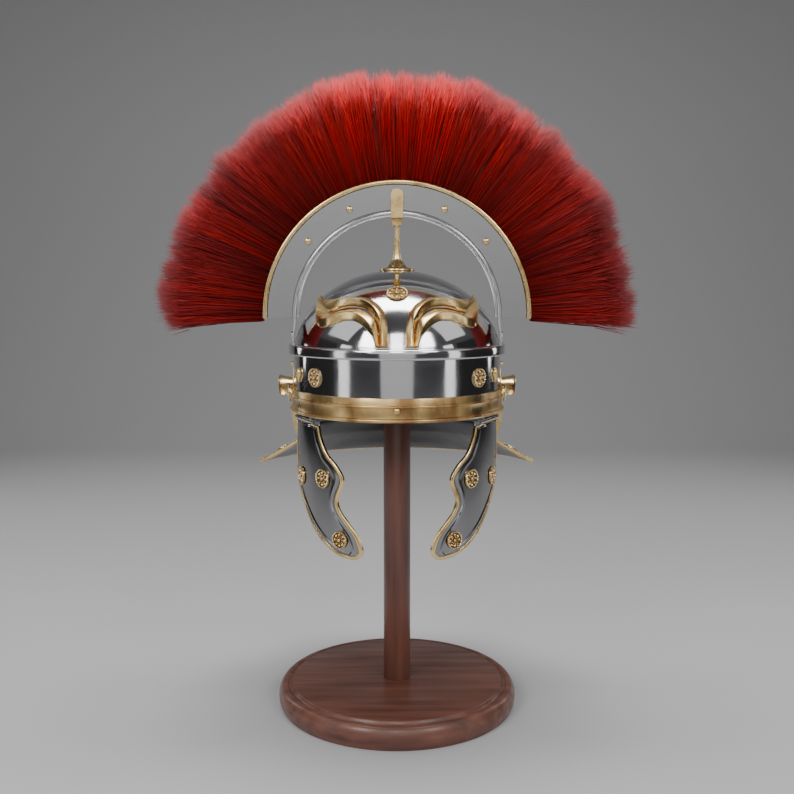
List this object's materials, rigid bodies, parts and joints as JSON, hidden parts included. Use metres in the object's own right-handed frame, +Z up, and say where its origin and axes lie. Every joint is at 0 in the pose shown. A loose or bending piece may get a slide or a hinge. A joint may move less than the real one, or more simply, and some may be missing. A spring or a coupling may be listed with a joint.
{
  "type": "roman legionary helmet on display stand",
  "caption": "Polished steel legionary helmet with brass fittings, hinged cheek guards and a transverse red horsehair crest, resting on a turned wooden post stand.",
  "frame": {"origin": "middle of the stand's foot, on the surface it rests on", "axes": "+Z up along the post, -Y the way the face of the helmet looks, +X to the viewer's right when facing the helmet"},
  "size_m": [0.4576, 0.2791, 0.6073],
  "materials": {
    "polished_steel": "mirror polished steel",
    "grey_steel": "satin grey steel sheet",
    "brass": "polished brass, slightly tarnished",
    "dark_wood": "dark stained hardwood, satin varnish",
    "horsehair": "dyed red horsehair"
  },
  "bodies": {
    "helmet_and_stand": {"stand_base": "dark_wood", "stand_post": "dark_wood", "bowl": "polished_steel", "neck_trim": "brass", "dome_rosette": "brass", "temple_rosette_left": "brass", "temple_rosette_right": "brass", "side_boss_left": "brass", "side_boss_right": "brass", "ear_blade_left": "brass", "ear_blade_right": "brass", "ear_rosette_left": "brass", "ear_rosette_right": "brass", "neck_rosette_left": "brass", "neck_rosette_right": "brass", "brow_band": "brass", "brow_rivet": "brass", "brow_guard": "polished_steel", "eyebrow_left": "brass", "eyebrow_right": "brass", "ear_guard_left": "brass", "ear_guard_right": "brass", "crest_plate_front": "grey_steel", "crest_plate_back": "grey_steel", "crest_trim_front": "brass", "crest_trim_back": "brass", "crest_arch": "polished_steel", "crest_rivet_1": "brass", "crest_rivet_2": "brass", "crest_rivet_3": "brass", "crest_rivet_4": "brass", "leg_rivet_left": "polished_steel", "leg_rivet_right": "polished_steel", "crest_holder": "brass", "plume": "horsehair", "bowl_hinge_left": "polished_steel", "bowl_hinge_right": "polished_steel", "hinge_pin_left": "polished_steel", "hinge_pin_right": "polished_steel"},
    "cheek_left": {"cheek_edging_left": "brass", "cheek_plate_left": "polished_steel", "cheek_rosette_front_left": "brass", "cheek_rosette_rear_left": "brass", "cheek_rosette_low_left": "brass", "cheek_hinge_left": "polished_steel"},
    "cheek_right": {"cheek_edging_right": "brass", "cheek_plate_right": "polished_steel", "cheek_rosette_front_right": "brass", "cheek_rosette_rear_right": "brass", "cheek_rosette_low_right": "brass", "cheek_hinge_right": "polished_steel"}
  },
  "joints": [
    {"name": "cheek_left_hinge", "type": "hinge", "parent": "helmet_and_stand", "child": "cheek_left", "pos_m": [-0.08309, -0.05075, 0.286], "axis": [-0.42, 0.9075, 0], "range_deg": [-12, 88]},
    {"name": "cheek_right_hinge", "type": "hinge", "parent": "helmet_and_stand", "child": "cheek_right", "pos_m": [0.08309, -0.05075, 0.286], "axis": [-0.42, -0.9075, 0], "range_deg": [-12, 88]}
  ]
}
